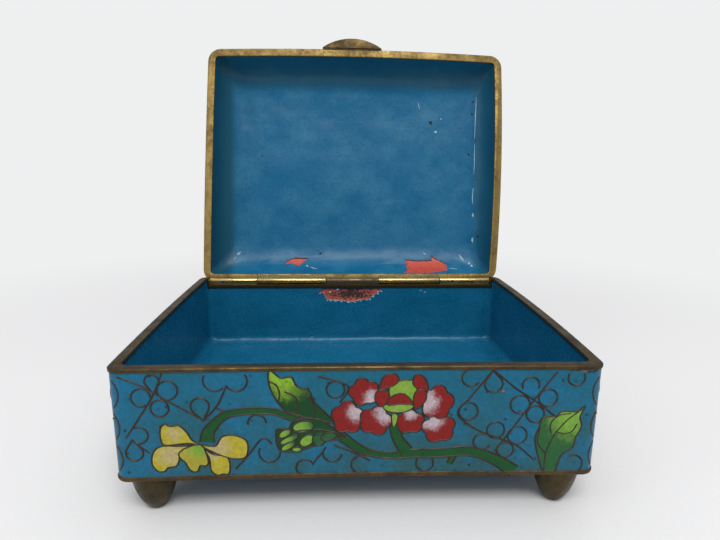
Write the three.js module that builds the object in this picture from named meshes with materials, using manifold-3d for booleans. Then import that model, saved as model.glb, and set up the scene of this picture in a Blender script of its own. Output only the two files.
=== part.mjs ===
// Hinged cloisonne enamel box, standing on four domed feet with its lid open.
// Millimetres, +Z up. The front faces -Y and the lid leans back over the hinge on the +Y side.

import * as THREE from 'three';
import { mergeVertices } from 'three/addons/utils/BufferGeometryUtils.js';
import Module from 'manifold-3d';

// The box: an enamelled copper pan, hammered by hand, so its sides bow a little.
const boxWidth = 115;
const boxDepth = 89;
const bodyHeight = 28.5;
const boxCornerRadius = 3.2;
const boxInnerRadius = 2.2;
const boxBow = { front: -0.8, back: 0, left: 0.7, right: 1.3 };
const wallThickness = 2.4;
const floorThickness = 3;
const floorFillet = 2.5;

// Brass trim of the box.
const rimHeight = 0.95;
const rimProud = 0.2;
const rimEase = 0.25;
const bandHeight = 1.25;
const bandThickness = 0.8;
const footHeight = 10;
const footRadius = 5.6;
const footTipDepth = 10.5;
const footFullness = 1.6;
const footInset = { x: 7.3, y: 5.9 };

// The hinge: five knuckles on one pin, let into the back wall between the side walls.
const openAngle = 102.3;
const hingeInset = 0.6;
const hingeDrop = 1.35;
const hingeEnd = 54.4;
const knuckleBreaks = [-hingeEnd, -36.2, -9.7, 10.7, 34.7, hingeEnd];
const knuckleGap = 0.3;
const knuckleRadius = 1.1;
const boreRadius = 0.58;
const pinRadius = 0.5;
const seatDrop = 2.5;
const seatStripHeight = 1.4;
const seatCheek = 0.6;
const leafReach = 2.1;
const leafThickness = 0.4;

// The lid: a shallow enamelled dish with a brass rim and a thumb tab.
const lidWidth = 114.8;
const lidDepth = 89.6;
const lidBackInset = 0.3;
const lidShift = 0.1;
const lidHeight = 14.4;
const lidCornerRadius = 4.5;
const lidInnerRadius = 1.4;
const lidBow = { front: 1.2, back: 0, left: 0.35, right: 1.3 };
const lidSkew = 1.1;
const lidRack = 2.2;
const lidRimWidth = 2.8;
const lidRimHeight = 1;
const closedGap = 0.3;
const solderGap = 0.3;
const tabWidth = 23;
const tabShift = -1.7;
const tabReach = 4.1;
const tabThickness = 1.1;
const tabEase = 0.2;

// Fineness of the faceted curves.
const cornerSteps = 6;
const sideSteps = 8;
const domeSteps = 8;
const filletSteps = 4;
const roundSegments = 24;

// Places that follow from the sizes above.
const mouthZ = footHeight + bodyHeight;
const seatZ = mouthZ - seatDrop;
const seatStripZ = seatZ - seatStripHeight;
const floorZ = footHeight + floorThickness;
const hingeY = boxDepth / 2 - hingeInset;
const hingeZ = mouthZ - hingeDrop;
const innerBackY = boxDepth / 2 - wallThickness;
const lidZ = mouthZ + closedGap;
const lidY = boxDepth / 2 - lidBackInset - lidDepth / 2;
const lidFrontY = lidY - lidDepth / 2 - lidBow.front;

const boxPlan = { width: boxWidth, depth: boxDepth, x: 0, y: 0, bow: boxBow, skew: 0, rack: 0 };
const lidPlan = { width: lidWidth, depth: lidDepth, x: lidShift, y: lidY, bow: lidBow, skew: lidSkew, rack: lidRack };

const wasm = await Module();
wasm.setup();

// One level of a plan, counter-clockwise: a rounded rectangle set in from the plan's edge, whose
// sides bow out or in. A skewed plan reaches further forward on the left than on the right, and a
// racked one leans to the right towards its front.
function ring(plan, inset, radius, z) {
  const halfWidth = plan.width / 2;
  const halfDepth = plan.depth / 2;
  const cornerX = halfWidth - inset - radius;
  const cornerY = halfDepth - inset - radius;
  const corners = [[cornerX, cornerY], [-cornerX, cornerY], [-cornerX, -cornerY], [cornerX, -cornerY]];
  const onCorner = (quarter, angle) => {
    const [x, y] = corners[quarter % corners.length];
    return new THREE.Vector3(x + radius * Math.cos(angle), y + radius * Math.sin(angle), z);
  };
  const points = [];
  for (let quarter = 0; quarter < corners.length; quarter++) {
    for (let step = 0; step <= cornerSteps; step++) {
      points.push(onCorner(quarter, (quarter + step / cornerSteps) * Math.PI / 2));
    }
    const from = points.at(-1);
    const to = onCorner(quarter + 1, (quarter + 1) * Math.PI / 2);
    for (let step = 1; step < sideSteps; step++) {
      points.push(new THREE.Vector3().lerpVectors(from, to, step / sideSteps));
    }
  }
  for (const point of points) {
    const across = point.x / halfWidth;
    const along = point.y / halfDepth;
    const sideBow = across > 0 ? plan.bow.right : plan.bow.left;
    const endBow = along > 0 ? plan.bow.back : plan.bow.front;
    point.x += plan.x + across * sideBow * (1 - along * along) + plan.rack * (1 - along) / 2;
    point.y += plan.y + along * endBow * (1 - across * across) + across * plan.skew * (1 - along) / 4;
  }
  return points;
}

// Solid through a stack of rings, with its two ends capped flat or, when closed, joined together.
function loft(rings, closed = false) {
  const count = rings[0].length;
  const indices = [];
  const bands = closed ? rings.length : rings.length - 1;
  for (let band = 0; band < bands; band++) {
    const low = band * count;
    const high = ((band + 1) % rings.length) * count;
    for (let i = 0; i < count; i++) {
      const j = (i + 1) % count;
      indices.push(low + i, low + j, high + j, low + i, high + j, high + i);
    }
  }
  if (!closed) {
    const top = (rings.length - 1) * count;
    for (const [a, b, c] of THREE.ShapeUtils.triangulateShape(rings[0], [])) {
      indices.push(a, c, b);
    }
    for (const [a, b, c] of THREE.ShapeUtils.triangulateShape(rings.at(-1), [])) {
      indices.push(top + a, top + b, top + c);
    }
  }
  const geometry = new THREE.BufferGeometry().setFromPoints(rings.flat());
  geometry.setIndex(indices);
  return geometry;
}

// Metal strip that follows a plan between an outer and an inner edge, its long edges eased.
function edgeStrip(plan, outer, inner, bottom, top) {
  const levels = [
    [outer.inset + rimEase, outer.radius, bottom],
    [outer.inset, outer.radius, bottom + rimEase],
    [outer.inset, outer.radius, top - rimEase],
    [outer.inset + rimEase, outer.radius, top],
    [inner.inset - rimEase, inner.radius, top],
    [inner.inset, inner.radius, top - rimEase],
    [inner.inset, inner.radius, bottom],
  ];
  return loft(levels.map(([inset, radius, z]) => ring(plan, inset, radius, z)), true);
}

// Manifold solid of a closed geometry, for joining and cutting.
function solidOf(geometry) {
  const bare = geometry.clone();
  bare.deleteAttribute('normal');
  bare.deleteAttribute('uv');
  const merged = mergeVertices(bare);
  const vertProperties = new Float32Array(merged.attributes.position.array);
  const triVerts = new Uint32Array(merged.index.array);
  return new wasm.Manifold(new wasm.Mesh({ numProp: 3, vertProperties, triVerts }));
}

function geometryOf(solid) {
  const { vertProperties, triVerts } = solid.getMesh();
  const geometry = new THREE.BufferGeometry();
  geometry.setAttribute('position', new THREE.BufferAttribute(vertProperties, 3));
  return geometry.setIndex(new THREE.BufferAttribute(triVerts, 1));
}

// Block between two opposite corners, to cut with.
function block(low, high) {
  const size = high.map((value, axis) => value - low[axis]);
  const middle = high.map((value, axis) => (value + low[axis]) / 2);
  return solidOf(new THREE.BoxGeometry(...size).translate(...middle));
}

// Section drawn in the YZ plane about the pin, drawn out along X.
function extrudeAlongPin(shape, from, to) {
  const settings = { depth: to - from, bevelEnabled: false, curveSegments: roundSegments };
  const turn = new THREE.Matrix4().makeBasis(
    new THREE.Vector3(0, 1, 0), new THREE.Vector3(0, 0, 1), new THREE.Vector3(1, 0, 0));
  return new THREE.ExtrudeGeometry(shape, settings).applyMatrix4(turn).translate(from, hingeY, hingeZ);
}

// What the hinge takes out of the back wall, down to a given height. Its two ends may be widened.
function hingeSpace(widening, bottom) {
  const reach = hingeEnd + widening;
  return block([-reach, innerBackY - 1, bottom], [reach, boxDepth, mouthZ + 1]);
}

// Pan of the box: up the outside, over the wall, down the inside and round the fillet to the floor.
function bodyPan() {
  const bandRadius = boxCornerRadius - bandThickness;
  const rings = [
    ring(boxPlan, bandThickness, bandRadius, footHeight),
    ring(boxPlan, bandThickness, bandRadius, footHeight + bandHeight),
    ring(boxPlan, 0, boxCornerRadius, footHeight + bandHeight),
    ring(boxPlan, 0, boxCornerRadius, mouthZ - rimHeight),
    ring(boxPlan, wallThickness, boxInnerRadius, mouthZ - rimHeight),
  ];
  for (let step = 0; step <= filletSteps; step++) {
    const turn = step / filletSteps * Math.PI / 2;
    const inset = floorFillet * (1 - Math.cos(turn));
    const z = floorZ + floorFillet * (1 - Math.sin(turn));
    rings.push(ring(boxPlan, wallThickness + inset, boxInnerRadius + inset / 2, z));
  }
  return solidOf(loft(rings)).subtract(hingeSpace(seatCheek, seatStripZ));
}

// Rim of the mouth. At the back it drops, over two cheeks, to the strip that the hinge sits on.
function mouthRim() {
  const outer = { inset: -rimProud, radius: boxCornerRadius };
  const inner = { inset: wallThickness + rimProud, radius: boxInnerRadius };
  const tall = solidOf(edgeStrip(boxPlan, outer, inner, seatStripZ, mouthZ));
  const upper = block([-boxWidth, -boxDepth, mouthZ - rimHeight], [boxWidth, boxDepth, mouthZ + 1]);
  const seat = hingeSpace(seatCheek, seatStripZ - 1);
  return tall.intersect(upper.add(seat)).subtract(hingeSpace(0, seatZ));
}

function baseBand() {
  const outer = { inset: -rimProud, radius: boxCornerRadius };
  const inner = { inset: bandThickness, radius: boxCornerRadius - bandThickness };
  return edgeStrip(boxPlan, outer, inner, footHeight, footHeight + bandHeight);
}

// Domed foot, a full rounded cone whose tip is worn to a small flat.
function foot() {
  const radiusAt = (depth) => footRadius * Math.sqrt(1 - (depth / footTipDepth) ** footFullness);
  const profile = [new THREE.Vector2(0, 0)];
  for (let step = domeSteps; step >= 0; step--) {
    const depth = footHeight * Math.sin(step / domeSteps * Math.PI / 2);
    profile.push(new THREE.Vector2(radiusAt(depth), footHeight - depth));
  }
  profile.push(new THREE.Vector2(0, footHeight));
  return new THREE.LatheGeometry(profile, roundSegments).rotateX(Math.PI / 2);
}

// A box knuckle stands on the seat strip. A lid knuckle runs up into a leaf under the lid's rim.
function boxKnuckleShape() {
  const shape = new THREE.Shape();
  shape.moveTo(-knuckleRadius, hingeDrop - seatDrop);
  shape.lineTo(hingeInset, hingeDrop - seatDrop);
  return shape.absarc(0, 0, knuckleRadius, 0, Math.PI, false);
}

function lidKnuckleShape() {
  const leafTop = hingeDrop + closedGap - solderGap;
  const shape = new THREE.Shape();
  shape.moveTo(-leafReach, leafTop);
  shape.lineTo(-leafReach, leafTop - leafThickness);
  shape.absarc(0, 0, knuckleRadius, Math.PI, 2 * Math.PI, false);
  return shape.lineTo(lidBackInset, leafTop);
}

function knuckle(index, isOnLid) {
  const shape = isOnLid ? lidKnuckleShape() : boxKnuckleShape();
  shape.holes.push(new THREE.Path().absarc(0, 0, boreRadius, 0, 2 * Math.PI, true));
  const trim = knuckleGap / 2;
  return extrudeAlongPin(shape, knuckleBreaks[index] + trim, knuckleBreaks[index + 1] - trim);
}

function hingePin() {
  const pin = new THREE.CylinderGeometry(pinRadius, pinRadius, 2 * hingeEnd, roundSegments);
  return pin.rotateZ(Math.PI / 2).translate(0, hingeY, hingeZ);
}

// Lid dish, by inset from the plan and height over the lid's underside: from the hollow of the dish
// out and down to its edge, then up the outside and in over the gently crowned top.
function lidDish() {
  const edgeHeight = lidRimHeight + solderGap;
  const hollow = [[24, 12], [14, 11.6], [9.8, 10.7], [6.8, 9.1], [4.7, 6.9], [3.4, 4.2], [2.7, edgeHeight]];
  const outside = [
    [0.1, edgeHeight], [0.3, 3.4], [1, 6.2], [2.3, 8.9], [4.4, 11.3], [7.4, 12.9], [11.5, 13.8],
    [24, lidHeight],
  ];
  const level = (cornerRadius) => ([inset, height]) =>
    ring(lidPlan, inset, cornerRadius + inset / 2, lidZ + height);
  return loft([...hollow.map(level(lidInnerRadius)), ...outside.map(level(lidCornerRadius))]);
}

function lidRim() {
  const outer = { inset: 0, radius: lidCornerRadius };
  const inner = { inset: lidRimWidth, radius: lidInnerRadius };
  return edgeStrip(lidPlan, outer, inner, lidZ, lidZ + lidRimHeight);
}

// Thumb tab: a low segment of brass sheet that stands out from the middle of the lid's front edge.
function thumbTab() {
  const reach = tabReach - solderGap - tabEase;
  const half = tabWidth / 2;
  const radius = (half ** 2 + reach ** 2) / (2 * reach);
  const swing = Math.asin(half / radius);
  const shape = new THREE.Shape();
  shape.absarc(0, radius - reach, radius - tabEase, -Math.PI / 2 + swing, -Math.PI / 2 - swing, true);
  const settings = {
    depth: tabThickness - 2 * tabEase,
    bevelThickness: tabEase,
    bevelSize: tabEase,
    bevelSegments: 1,
    curveSegments: roundSegments,
  };
  const tab = new THREE.ExtrudeGeometry(shape, settings).rotateZ(Math.atan(lidSkew / lidWidth));
  return tab.translate(lidShift + lidRack + tabShift, lidFrontY - solderGap - 2 * tabEase, lidZ + tabEase);
}

function enamel(color) {
  return new THREE.MeshStandardMaterial({ color, roughness: 0.3, metalness: 0 });
}

function brass(color) {
  return new THREE.MeshStandardMaterial({ color, roughness: 0.4, metalness: 1 });
}

function named(name, geometry, material) {
  const mesh = new THREE.Mesh(geometry, material);
  mesh.name = name;
  return mesh;
}

const turquoise = 0x2f7f96;
const dullBrass = 0x77633f;
const paleBrass = 0xb39a5c;
const oldBrass = 0x4a4230;

const model = new THREE.Group();
model.add(named('box_body', geometryOf(bodyPan()), enamel(turquoise)));
model.add(named('body_rim', geometryOf(mouthRim()), brass(dullBrass)));
model.add(named('base_band', baseBand(), brass(dullBrass)));
model.add(named('hinge_pin', hingePin(), brass(paleBrass)));

for (const [end, alongY] of [['front', -1], ['back', 1]]) {
  for (const [side, alongX] of [['left', -1], ['right', 1]]) {
    const domed = named(`foot_${end}_${side}`, foot(), brass(oldBrass));
    domed.position.x = alongX * (boxWidth / 2 - footInset.x);
    domed.position.y = alongY * (boxDepth / 2 - footInset.y);
    model.add(domed);
  }
}

// The lid and its knuckles are shaped closed, then turned open about the pin.
const lid = new THREE.Group();
const aboutPin = new THREE.Group();
aboutPin.position.set(0, hingeY, hingeZ);
aboutPin.rotation.x = THREE.MathUtils.degToRad(-openAngle);
lid.position.set(0, -hingeY, -hingeZ);
aboutPin.add(lid);
model.add(aboutPin);
lid.add(named('lid_body', lidDish(), enamel(turquoise)));
lid.add(named('lid_rim', lidRim(), brass(paleBrass)));
lid.add(named('thumb_tab', thumbTab(), brass(paleBrass)));

for (let index = 0; index < knuckleBreaks.length - 1; index++) {
  const isOnLid = index % 2 === 1;
  const piece = named(`hinge_knuckle_${index + 1}`, knuckle(index, isOnLid), brass(paleBrass));
  (isOnLid ? lid : model).add(piece);
}

// Centre the whole object over its origin as it stands open.
const extent = new THREE.Box3().setFromObject(model, true);
const middle = extent.getCenter(new THREE.Vector3());
model.position.set(-middle.x, -middle.y, -extent.min.z);

export default model;
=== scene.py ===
import math
import random

import bmesh
import bpy
from mathutils import Matrix, Vector
from mathutils.bvhtree import BVHTree
from mathutils.geometry import delaunay_2d_cdt


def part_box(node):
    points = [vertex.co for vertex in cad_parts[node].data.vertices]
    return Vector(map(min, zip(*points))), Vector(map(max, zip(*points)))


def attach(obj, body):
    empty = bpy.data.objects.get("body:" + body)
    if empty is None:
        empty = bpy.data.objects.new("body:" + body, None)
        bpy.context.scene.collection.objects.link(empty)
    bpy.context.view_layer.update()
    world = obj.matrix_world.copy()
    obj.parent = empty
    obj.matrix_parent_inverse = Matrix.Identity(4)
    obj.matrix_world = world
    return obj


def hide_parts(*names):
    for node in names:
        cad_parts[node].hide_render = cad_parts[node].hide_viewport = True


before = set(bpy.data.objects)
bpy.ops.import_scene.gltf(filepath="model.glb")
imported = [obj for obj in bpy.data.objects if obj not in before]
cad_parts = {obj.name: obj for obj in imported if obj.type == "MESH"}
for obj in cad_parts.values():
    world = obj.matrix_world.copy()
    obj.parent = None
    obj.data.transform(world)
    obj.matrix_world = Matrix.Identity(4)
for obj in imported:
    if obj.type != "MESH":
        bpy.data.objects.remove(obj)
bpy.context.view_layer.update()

MM = 0.001
bpy.ops.object.select_all(action="DESELECT")


# ---------------------------------------------------------------- studio floor and light
# A sheet of matt white paper fades into a plain pale background. One broad lamp stands above
# and in front of the box, with a weaker soft panel on each side.
def add_node(tree, kind, values=(), **settings):
    """A node with its settings made and its inputs set or linked."""
    node = tree.nodes.new(kind)
    for setting, value in settings.items():
        setattr(node, setting, value)
    for socket, value in dict(values).items():
        if isinstance(value, bpy.types.NodeSocket):
            tree.links.new(value, node.inputs[socket])
        else:
            node.inputs[socket].default_value = value
    return node


def remap(tree, value, low=0.0, high=1.0, start=0.0, end=1.0, smooth=False):
    """A value carried from one range to another, in a straight line or eased at both ends."""
    return add_node(tree, "ShaderNodeMapRange", {"Value": value, "From Min": low, "From Max": high, "To Min": start,
        "To Max": end}, interpolation_type="SMOOTHSTEP" if smooth else "LINEAR").outputs["Result"]


def noise(tree, place, scale, detail, roughness=0.5):
    """A cloudy pattern over a place, by the size and depth of its detail."""
    return add_node(tree, "ShaderNodeTexNoise", {"Vector": place, "Scale": scale, "Detail": detail,
        "Roughness": roughness}).outputs["Fac"]


def maths(tree, operation, *values, clamp=False):
    """The result of one sum on two or three values."""
    return add_node(tree, "ShaderNodeMath", dict(enumerate(values)), operation=operation, use_clamp=clamp).outputs[0]


def blend(tree, factor, first, second):
    """A colour between two others."""
    return add_node(tree, "ShaderNodeMix", {"Factor": factor, "A": first, "B": second}, data_type="RGBA").outputs[2]


def new_material(name):
    """A material, its node tree, its Principled shader and the Object coordinates it reads."""
    material = bpy.data.materials.new(name)
    material.use_nodes = True
    tree = material.node_tree
    shader = tree.nodes["Principled BSDF"]
    place = add_node(tree, "ShaderNodeTexCoord").outputs["Object"]
    return material, tree, shader, place


def settings_of(shader, **values):
    """Sets the sockets of a shader that don't vary over the surface."""
    for socket, value in values.items():
        shader.inputs[socket.replace("_", " ")].default_value = value


bpy.ops.mesh.primitive_circle_add(vertices=96, radius=0.9, fill_type="NGON", location=(0, 0, 0))
floor = bpy.context.object
floor.name = "paper_floor"
paper, tree, shader, place = new_material("white_paper")
grain = noise(tree, place, 900.0, 3.0)
tint = blend(tree, grain, (0.73, 0.73, 0.735, 1), (0.78, 0.78, 0.785, 1))
tree.links.new(tint, shader.inputs["Base Color"])
settings_of(shader, Roughness=0.75, Specular_IOR_Level=0.2)
reach = add_node(tree, "ShaderNodeVectorMath", {0: place}, operation="LENGTH")
fade = remap(tree, reach.outputs["Value"], 0.10, 0.34, smooth=True)
glow = add_node(tree, "ShaderNodeEmission", {"Color": (0.86, 0.865, 0.87, 1), "Strength": 1.0})
blended = add_node(tree, "ShaderNodeMixShader", {0: fade, 1: shader.outputs["BSDF"],
    2: glow.outputs["Emission"]})
tree.links.new(blended.outputs["Shader"], tree.nodes["Material Output"].inputs["Surface"])
floor.data.materials.append(paper)

world = bpy.data.worlds.new("pale_room")
bpy.context.scene.world = world
world.use_nodes = True
tree = world.node_tree
direction = add_node(tree, "ShaderNodeTexCoord").outputs["Generated"]
height = add_node(tree, "ShaderNodeVectorMath", {0: direction, 1: (0.0, 0.10, 0.99)}, operation="DOT_PRODUCT")
climb = remap(tree, height.outputs["Value"], -0.15, 0.95, smooth=True)
axes = add_node(tree, "ShaderNodeSeparateXYZ", {0: direction})
aside = maths(tree, "MULTIPLY", axes.outputs["X"], axes.outputs["X"])
aside = remap(tree, aside, start=1.0, end=0.25)
level = maths(tree, "MULTIPLY", climb, aside)
sky = blend(tree, level, (0.11, 0.113, 0.118, 1), (1.05, 1.05, 1.07, 1))
seen = add_node(tree, "ShaderNodeLightPath").outputs["Is Camera Ray"]
backing = blend(tree, seen, sky, (0.86, 0.865, 0.87, 1))
tree.links.new(backing, tree.nodes["Background"].inputs["Color"])
tree.nodes["Background"].inputs["Strength"].default_value = 1.0


def soft_panel(name, place, aim, size, power, tint):
    """A rectangular studio panel that looks at a point."""
    bpy.ops.object.light_add(type="AREA", location=place)
    panel = bpy.context.object
    panel.name = name
    panel.data.shape = "RECTANGLE"
    panel.data.size, panel.data.size_y = size
    panel.data.energy = power
    panel.data.color = tint
    panel.rotation_euler = (Vector(aim) - Vector(place)).to_track_quat("-Z", "Y").to_euler()


soft_panel("overhead_lamp", (0.03, -0.48, 0.66), (0, 0, 0.04), (0.46, 0.28), 3.5, (1.0, 0.99, 0.97))
soft_panel("left_panel", (-0.62, -0.35, 0.42), (0, 0, 0.05), (0.30, 0.25), 0.5, (0.97, 0.99, 1.0))
soft_panel("right_panel", (0.60, 0.05, 0.45), (0, 0, 0.05), (0.16, 0.25), 0.12, (1.0, 0.99, 0.97))
bpy.context.scene.view_settings.view_transform = "Standard"

# The camera stands just left of the middle, a hand's breadth in front of the box and above its
# rim, and looks down a little into the open pan.
box_low, box_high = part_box("body_rim")
eye = Vector(((box_low.x + box_high.x) / 2 - 5.306 * MM, box_low.y - 113.67 * MM, box_high.z + 48.62 * MM))
turn, tilt, roll = math.radians(-2.417), math.radians(-12.746), math.radians(-0.493)
bpy.ops.object.camera_add(location=eye)
camera = bpy.context.object
camera.data.lens = 26.70
camera.data.sensor_width = 36.0
camera.data.clip_start = 0.005
sight = Matrix.Rotation(turn, 3, "Z") @ Matrix.Rotation(tilt, 3, "X") @ Matrix.Rotation(roll, 3, "Y")
camera.rotation_euler = (sight @ Matrix.Rotation(math.pi / 2, 3, "X")).to_euler()
bpy.context.scene.camera = camera


# ---------------------------------------------------------------- the pan
# The bottom half of the box: a hammered copper pan, fired with blue enamel inside and out.
# The outer ground is stoned matt and speckled, the inside is left glossy from the kiln.
def new_group(name, colours, numbers, results):
    """An empty node group with a place, colours and numbers going in, and a colour and numbers coming out."""
    group = bpy.data.node_groups.new(name, "ShaderNodeTree")
    sockets = [("Place", "INPUT", "Vector")] + [(colour, "INPUT", "Color") for colour in colours]
    sockets += [(number, "INPUT", "Float") for number in numbers] + [("Colour", "OUTPUT", "Color")]
    for socket, way, kind in sockets + [(result, "OUTPUT", "Float") for result in results]:
        group.interface.new_socket(socket, in_out=way, socket_type="NodeSocket" + kind)
    return group, group.nodes.new("NodeGroupInput").outputs, group.nodes.new("NodeGroupOutput")


def plug_in(tree, shader, group, depth, values):
    """Runs a shared finish into a shader, with its relief."""
    finish = add_node(tree, "ShaderNodeGroup", values, node_tree=group)
    for output, socket in (("Colour", "Base Color"), ("Roughness", "Roughness"), ("Metal", "Metallic")):
        if output in finish.outputs:
            tree.links.new(finish.outputs[output], shader.inputs[socket])
    relief(tree, shader, finish.outputs["Height"], depth)


def relief(tree, shader, height, depth):
    """Fine relief that only the light shows."""
    bump = add_node(tree, "ShaderNodeBump", {"Height": height, "Strength": 1.0, "Distance": depth})
    tree.links.new(bump.outputs["Normal"], shader.inputs["Normal"])


def fired_enamel_group():
    """Enamel colour with cloudy patches, fine mottle, dark specks and small pits."""
    group, given, result = new_group("fired_enamel", ("Ground", "Cloud", "Speck"),
        ("Clouding", "Speckling", "Smooth", "Wave"), ("Roughness", "Height"))
    place = given["Place"]
    broad = noise(group, place, 75.0, 4.0, 0.6)
    cloud = remap(group, broad, 0.42, 0.68)
    cloud = maths(group, "MULTIPLY", cloud, given["Clouding"])
    ground = blend(group, cloud, given["Ground"], given["Cloud"])
    fine = noise(group, place, 1100.0, 3.0, 0.7)
    shade = remap(group, fine, 0.25, 0.75, 0.80, 1.22)
    mottled = add_node(group, "ShaderNodeVectorMath", {0: ground, "Scale": shade},
        operation="SCALE")
    dots = add_node(group, "ShaderNodeTexVoronoi", {"Vector": place, "Scale": 620.0, "Randomness": 1.0})
    pick = add_node(group, "ShaderNodeSeparateColor", {0: dots.outputs["Color"]})
    few = remap(group, pick.outputs["Red"], 0.72, 1.0)
    near = remap(group, dots.outputs["Distance"], 0.12, 0.34, 1.0, 0.0)
    speck = maths(group, "MULTIPLY", few, near)
    speck = maths(group, "MULTIPLY", speck, given["Speckling"], clamp=True)
    colour = blend(group, speck, mottled.outputs["Vector"], given["Speck"])
    group.links.new(colour, result.inputs["Colour"])
    rough = remap(group, fine, start=-0.05, end=0.05)
    rough = maths(group, "ADD", rough, given["Smooth"])
    rough = maths(group, "MULTIPLY_ADD", speck, 0.3, rough, clamp=True)
    group.links.new(rough, result.inputs["Roughness"])
    swell = noise(group, place, 95.0, 1.5, 0.45)
    swell = maths(group, "MULTIPLY", swell, given["Wave"])
    pitted = maths(group, "MULTIPLY_ADD", speck, -0.25, swell)
    skin = maths(group, "MULTIPLY_ADD", fine, 0.03, pitted)
    group.links.new(skin, result.inputs["Height"])
    return group


fired_enamel = fired_enamel_group()


def enamel(name, ground, cloud, speck, clouding, speckling, smooth, wave, depth, gloss=0.18):
    """An enamel finish: the shared fired effect with its own colours, gloss and relief."""
    material, tree, shader, place = new_material(name)
    plug_in(tree, shader, fired_enamel, depth, {"Place": place, "Ground": (*ground, 1), "Cloud": (*cloud, 1),
        "Speck": (*speck, 1), "Clouding": clouding, "Speckling": speckling, "Smooth": smooth, "Wave": wave})
    settings_of(shader, IOR=1.52, Specular_IOR_Level=gloss)
    return material


outer_blue = enamel("outer_blue_enamel", (0.012, 0.096, 0.125), (0.006, 0.130, 0.250), (0.008, 0.014, 0.014),
    1.0, 0.9, 0.36, 0.5, 0.00018)
# The outer ground turns greyer and greener towards the foot of the wall.
tree = outer_blue.node_tree
low_down = add_node(tree, "ShaderNodeSeparateXYZ", {0: add_node(tree, "ShaderNodeTexCoord").outputs["Object"]})
low_down = remap(tree, low_down.outputs["Z"], 0.033, 0.013)
greyer_low_down = blend(tree, low_down, (0.006, 0.108, 0.175, 1), (0.020, 0.088, 0.105, 1))
fired = next(node for node in tree.nodes if node.type == "GROUP")
tree.links.new(greyer_low_down, fired.inputs["Ground"])
inner_blue = enamel("inner_blue_enamel", (0.004, 0.110, 0.215), (0.010, 0.130, 0.260), (0.004, 0.020, 0.040),
    0.7, 0.35, 0.27, 1.0, 0.0013, 0.26)
under_blue = enamel("under_blue_enamel", (0.014, 0.080, 0.140), (0.030, 0.110, 0.150), (0.010, 0.020, 0.024),
    0.8, 0.8, 0.40, 0.8, 0.0004)


def select_only(piece):
    """Makes one object the only chosen and the active one."""
    bpy.ops.object.select_all(action="DESELECT")
    piece.select_set(True)
    bpy.context.view_layer.objects.active = piece


def dressed_copy(node, name, round_by=0.12, smooth=38):
    """A copy of a CAD solid, merged into one skin, with its edges rounded as worn by hand."""
    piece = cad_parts[node].copy()
    piece.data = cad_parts[node].data.copy()
    piece.data.materials.clear()
    for tag in [tag for tag in piece.keys() if tag.startswith("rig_")]:
        del piece[tag]
    piece.parent = None
    piece.name = piece.data.name = name
    bpy.context.scene.collection.objects.link(piece)
    select_only(piece)
    bpy.ops.object.mode_set(mode="EDIT")
    bpy.ops.mesh.select_all(action="SELECT")
    bpy.ops.mesh.remove_doubles(threshold=0.002 * MM)
    bpy.ops.mesh.dissolve_limited(angle_limit=math.radians(0.03))
    bpy.ops.object.mode_set(mode="OBJECT")
    if round_by:
        edge = piece.modifiers.new("worn_edges", "BEVEL")
        edge.width = round_by * MM
        edge.segments = 2
        edge.limit_method = "ANGLE"
        edge.angle_limit = math.radians(40)
        edge.use_clamp_overlap = True
        bpy.ops.object.modifier_apply(modifier=edge.name)
    bpy.ops.object.shade_smooth_by_angle(angle=math.radians(smooth))
    return piece


pan = dressed_copy("box_body", "enamelled_pan", 0.15)
for finish in (outer_blue, inner_blue, under_blue):
    pan.data.materials.append(finish)
pan_low, pan_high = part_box("box_body")
pan_middle = (pan_low + pan_high) / 2
for face in pan.data.polygons:
    away = face.center - pan_middle
    outward = face.normal.x * away.x + face.normal.y * away.y
    if face.normal.z < -0.7 and face.center.z < pan_low.z + 1 * MM:
        face.material_index = 2
    elif abs(face.normal.z) > 0.5 or outward < 0:
        face.material_index = 1
    else:
        face.material_index = 0
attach(pan, "box")
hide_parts("box_body")


# ---------------------------------------------------------------- wires and coloured cells of the front
# Copper wire, round here, follows each petal, leaf, stem and cloud loop and stands a little
# proud of the ground. The cells between are coloured enamels, nearly flush with the wire, two
# colours running into each other in most of them.
def curve_through(points, closed=False, step=0.45):
    """A smooth line through a few points, in millimetres, with even short steps."""
    points = [Vector(point) for point in points]
    count = len(points)
    spans = count if closed else count - 1
    line = []
    for i in range(spans):
        if closed:
            before, start, end, after = (points[(i + k) % count] for k in (-1, 0, 1, 2))
        else:
            before, start, end, after = (points[min(max(i + k, 0), count - 1)] for k in (-1, 0, 1, 2))
        pieces = max(2, round((end - start).length / step))
        for k in range(pieces):
            t = k / pieces
            line.append(0.5 * (2 * start + (end - before) * t + (2 * before - 5 * start + 4 * end - after) * t * t
                               + (3 * start - before - 3 * end + after) * t ** 3))
    if not closed:
        line.append(points[-1])
    return line


def ring_line(x, z, radius, start=0, sweep=360):
    """Part of a round loop of wire, by its centre, radius and the degrees it covers."""
    steps = max(6, round(abs(sweep) / 14))
    return [Vector((x + radius * math.cos(math.radians(start + sweep * k / steps)),
                    z + radius * math.sin(math.radians(start + sweep * k / steps)))) for k in range(steps + 1)]


def teardrop_line(x, z, radius, tip_x, tip_z):
    """A loop of wire drawn out to a point."""
    tip = Vector((tip_x, tip_z))
    toward = math.degrees(math.atan2(tip_z - z, tip_x - x))
    return [tip] + ring_line(x, z, radius, toward + 62, 236) + [tip]


def scalloped(x, z, wide, high, scallops, notch=0.13, phase=0.0, turn=0.0):
    """The closed outline of a petal with a scalloped edge, by its centre and half sizes."""
    outline = []
    for k in range(64):
        angle = math.tau * k / 64
        swell = 1 + notch * (abs(math.sin(scallops * angle / 2 + phase)) - 0.75)
        spot = Vector((wide * swell * math.cos(angle), high * swell * math.sin(angle)))
        spot.rotate(Matrix.Rotation(math.radians(turn), 2))
        outline.append(Vector((x, z)) + spot)
    return outline


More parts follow.
